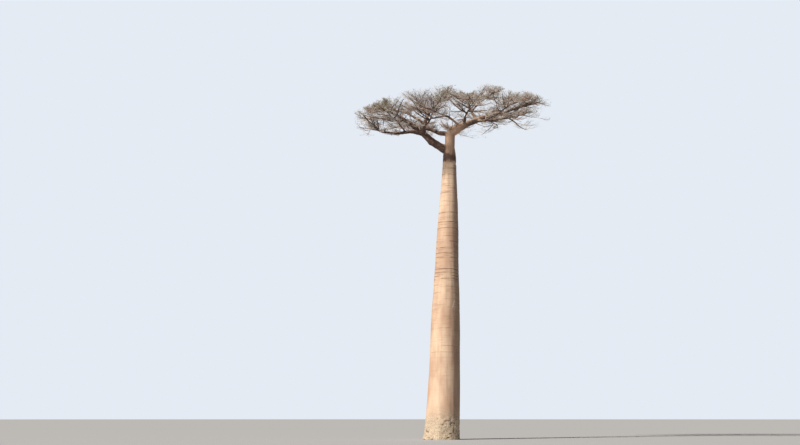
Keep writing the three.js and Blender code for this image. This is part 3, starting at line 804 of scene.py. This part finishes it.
def column_rings(sizes):
    """The heights of the column's rings of points, closest at its rough foot and on its ringed upper part."""
    stretches = (
        np.arange(0, SMOOTH_FROM, FOOT_STEP),
        np.arange(SMOOTH_FROM, SMOOTH_TO, SMOOTH_STEP),
        np.arange(SMOOTH_TO, sizes.shoulder - SHOULDER_ROUND, RINGED_STEP),
        sizes.shoulder - SHOULDER_ROUND * SHOULDER_STEPS,
    )
    return np.concatenate(stretches)


def ring_levels():
    """Heights of the bark's level rings, and how deep each is."""
    levels = [(height, 1.0) for height in CLEAR_RINGS]
    height, place = FAINT_RINGS[0], 0
    while height < FAINT_RINGS[1]:
        levels.append((height, draw_between(FAINT_DEPTH, DEPTH_SEED, place)))
        height += draw_between(FAINT_SPACING, SPACING_SEED, place)
        place += 1
    return levels


def ring_relief(sizes, angle, height):
    """How deep each point lies in a level ring, 0 to 1, and how far it stands out on the lips beside it.
    A ring wavers as it goes round, and fades out on some sides."""
    groove = np.zeros(np.broadcast_shapes(angle.shape, height.shape))
    lip = groove.copy()
    for place, (level, depth) in enumerate(ring_levels()):
        phases = [(waves, FULL_TURN * draw(WAVE_SEED + waves, place)) for waves in RING_WAVES]
        waver = sum(np.sin(waves * angle + phase) / waves for waves, phase in phases)
        patchy = noise(around(angle, RING_APART * place), RING_BREAK, BREAK_SEED)
        shown = depth * ease(RING_SPAN, patchy + DEEP_SHARE * depth)
        away = (height - level - RING_WAVER * waver) / sizes.ring_width
        groove = np.maximum(groove, shown * np.exp(-(away**2)))
        lip = np.maximum(lip, shown * np.exp(-(((np.abs(away) - LIP_PLACE) / LIP_WIDTH) ** 2)))
    return groove, lip


class BAOBAB_OT_column(bpy.types.Operator):
    """Builds the trunk up to the lower fork, with its rings, flutes, creases and pitted foot"""

    bl_idname = "baobab.column"
    bl_label = "Trunk"

    def execute(self, context):
        sizes = context.scene.baobab_trunk
        height = column_rings(sizes)[:, None]
        share = height / TRUNK_HEIGHT
        angle = angles_round(COLUMN_SIDES)[None]
        smooth = column_radius(sizes, share) + flare_depth(sizes, share, angle)
        place = column_points(sizes, angle, share, smooth)

        groove, lip = ring_relief(sizes, angle, height)
        foot = 1 - ease((FOOT_FADE * sizes.foot_height, sizes.foot_height), height)
        creased = mix(CREASES_BELOW, 1, ease(CREASED_HEIGHTS, height))
        creases = ease(CREASE_SPAN, layered(place, CREASES)) * creased
        pits = ease(PIT_SPAN, layered(place, PITS)) * foot
        radius = (
            smooth * (1 + layered(place, UNEVENNESS))
            + sizes.flute_depth * layered(place, FLUTES)
            - sizes.crease_depth * creases
            - sizes.ring_depth * (groove - LIP_HEIGHT * lip)
            + sizes.foot_relief * (foot * layered(place, LUMPS) - PIT_DEPTH * pits)
        )
        rounding = np.clip(1 - (sizes.shoulder - height) / SHOULDER_ROUND, 0, 1)
        radius = radius * mix(SHOULDER_TOP, 1, np.sqrt(1 - rounding**2))

        vertices, faces, _ = loft(column_points(sizes, angle, share, radius))
        column = new_piece("column", vertices, faces, [trunk_bark(context.scene.baobab_colours)])
        # How deep the grooves and creases are, by which the bark darkens: painted shade over the rings' own
        # darker bark
        mark(column.data, "groove", np.clip(groove + CREASE_SHADE * creases, 0, 1))
        # Where the foot is pitted, by which the bark darkens as painted shade
        mark(column.data, "pit", pits)
        seat_piece(column, ["trunk"])
        return {"FINISHED"}


# Limbs


@dataclass
class Limb:
    """One tapering limb: the curve that it follows, its radii at root and tip, and the end of the stem beyond
    it."""

    name: str
    seed: int
    controls: np.ndarray
    root_radius: float
    tip_radius: float
    end: np.ndarray

    @property
    def length(self):
        return np.linalg.norm(self.controls[-1] - self.controls[0])

    def radius_at(self, share):
        collar = 1 + COLLAR * np.exp(-share * self.length / (COLLAR_LENGTH * self.root_radius))
        return mix(self.root_radius, self.tip_radius, share) * collar


def grow_limbs(trunk):
    """Every limb of the table, each from its place on the trunk or on a limb before it."""
    limbs = {}
    for seed, (name, row) in enumerate(LIMBS.items(), 1):
        carrier, at, heading, out, rise, climbs, girths, (turn, stem_out, stem_rise) = row
        root = trunk_centre(trunk, at) if carrier == "trunk" else point_at(limbs[carrier].controls, at)
        tip = root + offset(heading, out, rise)
        handle = np.linalg.norm(tip - root) * HANDLE
        leave, arrive = (
            direction(heading + draw_between(SWAY, seed, i), climb) * handle for i, climb in enumerate(climbs)
        )
        controls = np.array([root, root + leave, tip - arrive, tip])
        end = tip + offset(heading + turn, stem_out, stem_rise)
        limbs[name] = Limb(name, seed, controls, girths[0] / 2, girths[1] / 2, end)
    return list(limbs.values())


def limb_loft(limb):
    """A limb's whole form, closed at both ends, with its root end hidden inside its carrier."""
    steps = max(LIMB_STEPS, round(limb.length / LIMB_STEP))
    shares = np.linspace(0, 1, steps + 1)
    radii = limb.radius_at(shares) * mix(SEAT, 1, ease(SEAT_SPAN, shares))
    rings, _ = rings_along(limb.controls[None], shares, radii[None], LIMB_SIDES)
    return loft(rings)


def neck_loft(trunk):
    """The trunk's top, from inside the column's shoulder to the upper fork."""
    rings = np.linspace(NECK_FOOT, TRUNK_HEIGHT, round((TRUNK_HEIGHT - NECK_FOOT) / RINGED_STEP))
    share = (rings / TRUNK_HEIGHT)[:, None]
    angle = angles_round(COLUMN_SIDES)[None]
    shrink = mix(NECK_SHRINK, 1, ease((trunk.shoulder, NECK_GROWN), rings))[:, None]
    return loft(column_points(trunk, angle, share, column_radius(trunk, share) * shrink + 0 * angle))


def united(name, vertices, faces, voxel):
    """One closed mesh round forms that overlap, joined on a fine grid."""
    piece = new_piece(name, vertices, faces, [])
    remesh = piece.modifiers.new("union", "REMESH")
    remesh.mode = "VOXEL"
    remesh.voxel_size = voxel
    shaped = piece.evaluated_get(bpy.context.evaluated_depsgraph_get())
    piece.data = bpy.data.meshes.new_from_object(shaped)
    piece.modifiers.clear()
    return piece


def drawn_together(points, edges, weight):
    """Each point moved by its weight towards the middle of its neighbours."""
    count = np.bincount(edges.ravel(), minlength=len(points))
    middle = np.stack(
        [
            np.bincount(edges[:, 0], points[edges[:, 1], axis], len(points))
            + np.bincount(edges[:, 1], points[edges[:, 0], axis], len(points))
            for axis in range(3)
        ],
        axis=-1,
    )
    return points + weight[:, None] * (middle / np.maximum(count, 1)[:, None] - points)


def smooth_forks(mesh, limbs, scene):
    """Rounds the wood where limbs part, and takes the grid's steps off the rest."""
    points = read_points(mesh)
    edges = np.zeros(len(mesh.edges) * 2, np.int32)
    mesh.edges.foreach_get("vertices", edges)
    edges = edges.reshape(-1, 2)
    at_fork = np.zeros(len(points))
    for limb in limbs:
        middle = crooked(point_at(limb.controls[None], FORK_SHARE), scene)[0]
        reach = FORK_REACH * limb.root_radius + FORK_MARGIN
        away = np.linalg.norm(points - middle, axis=1)
        at_fork = np.maximum(at_fork, 1 - ease(FORK_SPAN * reach, away))
    for _ in range(LIMB_SMOOTHING):
        points = drawn_together(points, edges, np.full(len(points), LIMB_PULL))
    for _ in range(FORK_SMOOTHING):
        points = drawn_together(points, edges, FORK_PULL * at_fork)
    write_points(mesh, points)


def fold_bark(mesh, depth):
    """Raises folds, knots and lumps on the limbs' bark."""
    points, normals = read_points(mesh), read_points(mesh, "normal")
    height = layered(points, FOLDS) + KNOT_HEIGHT * ease(KNOT_SPAN, layered(points, KNOTS))
    write_points(mesh, points + normals * depth * height[:, None])


class BAOBAB_OT_limbs(bpy.types.Operator):
    """Builds the neck, the two boughs and every limb as one wood, with rounded forks and folded bark"""

    bl_idname = "baobab.limbs"
    bl_label = "Limbs"

    def execute(self, context):
        scene = context.scene
        limbs = grow_limbs(scene.baobab_trunk)
        vertices, faces, _ = joined([neck_loft(scene.baobab_trunk), *(limb_loft(limb) for limb in limbs)])
        wood = united("limb_wood", crooked(vertices, scene), faces, scene.baobab_crown.voxel)
        smooth_forks(wood.data, limbs, scene)
        fold_bark(wood.data, scene.baobab_crown.bark_relief)
        wood.data.shade_smooth()
        wood.data.materials.append(limb_bark("limb_bark", scene.baobab_colours))
        seat_piece(wood, ["trunk", *LIMBS])
        return {"FINISHED"}


# Twigs


@dataclass
class Twigs:
    """A set of twigs: their curves, root radii, seeds, lengths, and the number of each one's finish."""

    controls: np.ndarray
    radius: np.ndarray
    seed: np.ndarray
    length: np.ndarray
    finish: np.ndarray

    def pick(self, chosen):
        return Twigs(*(values[chosen] for values in vars(self).values()))


def lone_twig(root, middle, tip, radius, seed):
    length = np.linalg.norm(middle - root) + np.linalg.norm(tip - middle)
    rows = ([root, middle, tip], radius, seed, length, 0)
    types = (float, float, np.uint64, float, int)
    return Twigs(*(np.array([row], kind) for row, kind in zip(rows, types)))


def stem_of(limb):
    """The stem that carries a limb on from its tip, a clearance beyond it, to the far end of its mass."""
    along = tangent_at(limb.controls, 1.0)
    root = limb.controls[-1] + along * CLEARANCE
    middle = root + along * np.linalg.norm(limb.end - root) * STEM_HANDLE
    return lone_twig(root, middle, limb.end, limb.tip_radius, limb.seed)


def outer_part(limb):
    """A limb beyond its bare share, as a parent of the small twigs that spring from the limb itself."""
    root, halfway, tip = point_at(limb.controls[None], np.array([BARE_SHARE, (BARE_SHARE + 1) / 2, 1]))
    return lone_twig(root, 2 * halfway - (root + tip) / 2, tip, limb.tip_radius, limb.seed + LIMB_TWIG_SEED)


def side_twigs(parents, order, cut):
    """Every side twig of an order on its parents, cut to a share of its length. Places alternate from side to
    side."""
    place = np.tile(np.arange(order.shoots, dtype=np.uint64), len(parents.radius))
    stock = parents.pick(np.repeat(np.arange(len(parents.radius)), order.shoots))
    seed = (stock.seed * SEED_STEP + place + 1) & WORD
    share = mix(FIRST_SHOOT, 1, ((place + 1) * GOLDEN + draw(stock.seed, PHASE)) % 1)
    along = tangent_at(stock.controls, share)
    root = point_at(stock.controls, share)
    side = np.where(place % 2 == 1, 1, -1)
    turn = side * draw_between(SPREAD_ANGLE, seed, HEADING)
    heading = np.degrees(np.arctan2(along[:, 1], along[:, 0])) + turn
    climb = np.degrees(np.arcsin(along[:, 2])) / 2 + draw_between(LIFT_ANGLE, seed, LIFT)
    length = stock.length * cut * order.length * draw_between(LENGTH_SPAN, seed, LENGTH)
    length = length * (1 - SHORTENING * share)
    half = length[:, None] / 2
    middle = root + direction(heading, climb) * half
    tip = middle + direction(heading, climb + draw_between(TURN_UP, seed, TURN)) * half
    radius = np.minimum(order.girth / 2, stock.radius * (1 - NARROWING * share) * SLENDERNESS)
    return Twigs(np.stack([root, middle, tip], axis=1), radius, seed, length, stock.finish)


def pad_distance(a, b):
    """Distance in which height counts more than breadth."""
    return np.linalg.norm((a - b) * np.array([1, 1, FLATNESS]), axis=-1)


def crown_top(points):
    """The height of the crown's domed top over each point."""
    return CROWN_TOP - (points[..., :2] - CROWN_MIDDLE) ** 2 @ CROWN_FALL


def rods_of(controls, radius_at):
    """A limb or stem as a chain of straight rods: where each starts and ends, and its radius."""
    shares = np.linspace(0, 1, ROD_SAMPLES + 1)
    points = point_at(controls[None], shares)
    return points[:-1], points[1:], radius_at(shares[:-1])


class Mass:
    """A mass of twigs round one stem, with its own space and all that its twigs keep clear of."""

    def __init__(self, limb):
        self.name = limb.name.split("_", 1)[1]
        self.stem = stem_of(limb)
        self.limb_part = outer_part(limb)
        self.centre = point_at(self.stem.controls[0], PAD_CENTRE)
        self.spread = self.stem.length[0] * PAD_SPREAD + PAD_MARGIN
        self.rods = rods_of(self.stem.controls[0], lambda share: mix(limb.tip_radius, STEM_TIP, share))

    def meet(self, masses, limb_rods):
        """Takes note of the other masses, and of the limbs and stems within reach."""
        others = [mass for mass in masses if mass is not self]
        self.others = np.array([mass.centre for mass in others])
        self.gaps = pad_distance(self.others, self.centre)
        start, end, radius = chained((*limb_rods, *(mass.rods for mass in others)))
        near = np.linalg.norm(start - self.centre, axis=1) < self.spread + ROD_REACH
        self.start, self.way, self.thickness = start[near], (end - start)[near], radius[near]

    def holds(self, twigs, order):
        """Which twigs stay in the mass's own space, under the crown's top and clear of every limb and stem. A
        twig that springs from a limb has its root inside it, so only its outer half counts."""
        samples = TWIG_SAMPLES[2:] if order is LIMB_TWIGS else TWIG_SAMPLES
        points = point_at(twigs.controls[:, None], samples)
        radius = twigs.radius[:, None]
        own = pad_distance(points, self.centre)
        inside = (points[..., 2] + radius < crown_top(points)) & (own < self.spread + order.stray)
        from_middle = np.abs(points - cad_box.mean(axis=0))
        inside &= (from_middle < np.ptp(cad_box, axis=0) / 2 + CROWN_EDGE).all(-1)
        beyond = pad_distance(points[:, :, None], self.others) ** 2 - own[..., None] ** 2
        apart = beyond / (2 * self.gaps) > radius[..., None] + TWIG_CLEARANCE - order.stray
        step = points[:, :, None] - self.start
        along = np.clip((step * self.way).sum(-1) / (self.way**2).sum(-1), 0, 1)
        away = np.linalg.norm(step - along[..., None] * self.way, axis=-1)
        clear = away > self.thickness + radius[..., None] + TWIG_CLEARANCE
        return (inside & apart.all(-1) & clear.all(-1)).all(-1)

    def shoots(self, parents, order):
        """The side twigs of an order, each at the first cut that the mass has room for, or left out."""
        picked = []
        waiting = np.arange(len(parents.radius) * order.shoots)
        for cut in CUTS:
            twigs = side_twigs(parents, order, cut).pick(waiting)
            room = self.holds(twigs, order)
            picked.append(twigs.pick(room))
            waiting = waiting[~room]
        return Twigs(*chained(vars(twigs).values() for twigs in picked))

    def branches(self):
        return self.shoots(self.stem, ORDERS[0])

    def sprays(self):
        """The fine twigs on the stem's branches and those on the limb itself, order by order."""
        grown = []
        for parents, orders in ((self.branches(), ORDERS[1:]), (self.limb_part, (LIMB_TWIGS, *ORDERS[2:]))):
            for order in orders:
                parents = self.shoots(parents, order)
                if order is orders[0]:
                    parents.finish = np.searchsorted(FINISH_SHARES, draw(parents.seed, FINISH))
                grown.append((parents, order))
        return grown


def grow_masses(trunk):
    limbs = grow_limbs(trunk)
    masses = [Mass(limb) for limb in limbs]
    limb_rods = [rods_of(limb.controls, limb.radius_at) for limb in limbs]
    for mass in masses:
        mass.meet(masses, limb_rods)
    return masses


def young_leaves(twigs):
    """Tufts of small folded leaves at the tips of the highest twigs, in patches, each tuft in one finish."""
    tips, seeds = chained((some.controls[:, -1], some.seed) for some in twigs)
    depth = crown_top(tips) - tips[:, 2]
    leafy = (depth > LEAF_DEPTHS[0]) & (depth < LEAF_DEPTHS[1]) & (draw(seeds, LEAFY) < LEAF_SHARE)
    leafy &= noise(tips, LEAF_PATCH, LEAF_SEED) > LEAF_SCARCITY
    tips, seeds = np.repeat(tips[leafy], TUFT, axis=0), np.repeat(seeds[leafy], TUFT)
    place = np.tile(np.arange(TUFT), leafy.sum())
    heading = 360 * (place / TUFT + draw(seeds, LEAF_HEADING))
    climb = LEAF_CLIMB * draw(seeds + place.astype(np.uint64), LEAF_LIFT)
    along = direction(heading, climb) * LEAF_LENGTH
    across = direction(heading + 90, 0 * heading) * LEAF_WIDTH / 2
    middle = tips + along / 2 - UP * LEAF_FOLD
    points = np.stack([tips, middle + across, tips + along, middle - across], axis=1)
    faces = disc_faces(4) + 4 * np.arange(len(tips))[:, None, None]
    finishes = np.repeat((draw(seeds, LEAF_SHADE) > OLIVE_SHARE).astype(int), 2)
    return points.reshape(-1, 3), faces.reshape(-1, 3), finishes


def seat_twigs(name, parts, finishes, masses, scene, smooth=True):
    """Joins twigs or leaves into a piece that stands for masses, bent as the whole crown is."""
    vertices, faces, numbers = joined(parts)
    piece = new_piece(name, crooked(vertices, scene), faces, finishes, numbers, smooth)
    seat_piece(piece, ["twigs_" + mass for mass in masses])


def plain_finishes(kind, shades, colours):
    names = [kind + shade for shade in shades]
    return [plain_finish(name, getattr(colours, name)) for name in names]


class BAOBAB_OT_branches(bpy.types.Operator):
    """Builds the stems that carry the limbs on to the crown's edge, and their thickest side branches"""

    bl_idname = "baobab.branches"
    bl_label = "Branches"

    def execute(self, context):
        masses = grow_masses(context.scene.baobab_trunk)
        parts = []
        for mass in masses:
            parts += [twig_mesh(mass.stem, STEM), twig_mesh(mass.branches(), ORDERS[0])]
        bark = limb_bark("branch_bark", context.scene.baobab_colours)
        seat_twigs("branches", parts, [bark], [mass.name for mass in masses], context.scene)
        return {"FINISHED"}


class BAOBAB_OT_sprays(bpy.types.Operator):
    """Builds the sprays of fine twigs, each in one plain finish, and the few young leaves on the highest"""

    bl_idname = "baobab.sprays"
    bl_label = "Sprays"

    def execute(self, context):
        scene = context.scene
        shades = plain_finishes("twig_", ("grey", "pale", "brown", "red"), scene.baobab_colours)
        grown = {mass.name: mass.sprays() for mass in grow_masses(scene.baobab_trunk)}
        for name, masses in SPRAYS.items():
            parts = [twig_mesh(twigs, order) for mass in masses for twigs, order in grown[mass]]
            seat_twigs(name, parts, shades, masses, scene)
        leafy = young_leaves([sprays[i][0] for sprays in grown.values() for i in TIP_ORDERS])
        greens = plain_finishes("leaf_", ("olive", "light"), scene.baobab_colours)
        seat_twigs("young_leaves", [leafy], greens, grown, scene, smooth=False)
        return {"FINISHED"}


# The stage


def light_world(stage):
    """A pale backdrop, and a fainter even light from all round."""
    world = Shader(bpy.data.worlds.new("studio"))
    light = world.node("Background", {}, {"Color": rgba(stage.sky), "Strength": stage.fill_strength})
    backdrop = world.node("Background", {}, {"Color": rgba(stage.sky)})
    seen = world.node("LightPath", output="Is Camera Ray")
    either = world.node("MixShader", {}, {0: seen, 1: light, 2: backdrop})
    world.node("OutputWorld", {}, {"Surface": either})
    return world.owner


class BAOBAB_OT_stage(bpy.types.Operator):
    """Lays the floor, sets the light, and places the camera where the picture was taken from"""

    bl_idname = "baobab.stage"
    bl_label = "Stage"

    def execute(self, context):
        scene, stage = context.scene, context.scene.baobab_stage
        rim = FLOOR_RADIUS * around(angles_round(FLOOR_SIDES), 0)
        finish = plain_finish("floor", stage.floor, FLOOR_ROUGHNESS)
        floor = new_piece("floor", rim, disc_faces(FLOOR_SIDES), [finish])

        sun = bpy.data.lights.new("key", "SUN")
        sun.energy, sun.angle, sun.color = stage.sun_strength, KEY_SOFTNESS, KEY_COLOUR
        key = bpy.data.objects.new("key", sun)
        key.rotation_euler = (LEVEL - KEY_CLIMB, 0, -KEY_HEADING)
        scene.collection.objects.link(key)
        scene.world = light_world(stage)
        scene.view_settings.view_transform = "Standard"

        lens = bpy.data.cameras.new("viewer")
        lens.lens, lens.sensor_width, lens.clip_end = stage.lens, SENSOR_WIDTH, 4 * FLOOR_RADIUS
        viewer = bpy.data.objects.new("viewer", lens)
        viewer.location = (stage.sideways, -stage.distance, stage.eye_height)
        viewer.rotation_euler = (LEVEL + stage.tilt, 0, 0)
        scene.collection.objects.link(viewer)
        scene.camera = viewer
        return {"FINISHED"}


# The sidebar


OPERATORS = (BAOBAB_OT_column, BAOBAB_OT_limbs, BAOBAB_OT_branches, BAOBAB_OT_sprays, BAOBAB_OT_stage)
SETTINGS = {
    "baobab_trunk": TrunkSizes,
    "baobab_crown": CrownSizes,
    "baobab_colours": BarkColours,
    "baobab_stage": StageSizes,
}


class BAOBAB_PT_tree(bpy.types.Panel):
    """Lists the tree's sizes and colours, and a button for each piece"""

    bl_label = "Baobab tree"
    bl_idname = "BAOBAB_PT_tree"
    bl_space_type = "VIEW_3D"
    bl_region_type = "UI"
    bl_category = "Baobab"

    def draw(self, context):
        for name, group in SETTINGS.items():
            box = self.layout.box()
            for value in group.__annotations__:
                box.prop(getattr(context.scene, name), value)
        for operator in OPERATORS:
            self.layout.operator(operator.bl_idname)


def register():
    for group in (*SETTINGS.values(), *OPERATORS, BAOBAB_PT_tree):
        bpy.utils.register_class(group)
    for name, group in SETTINGS.items():
        setattr(bpy.types.Scene, name, PointerProperty(type=group))


def unregister():
    for name in SETTINGS:
        delattr(bpy.types.Scene, name)
    for group in (BAOBAB_PT_tree, *reversed(OPERATORS), *reversed(SETTINGS.values())):
        bpy.utils.unregister_class(group)


def main():
    register()
    bpy.ops.baobab.column()
    bpy.ops.baobab.limbs()
    bpy.ops.baobab.branches()
    bpy.ops.baobab.sprays()
    bpy.ops.baobab.stage()


if __name__ == "__main__":
    main()
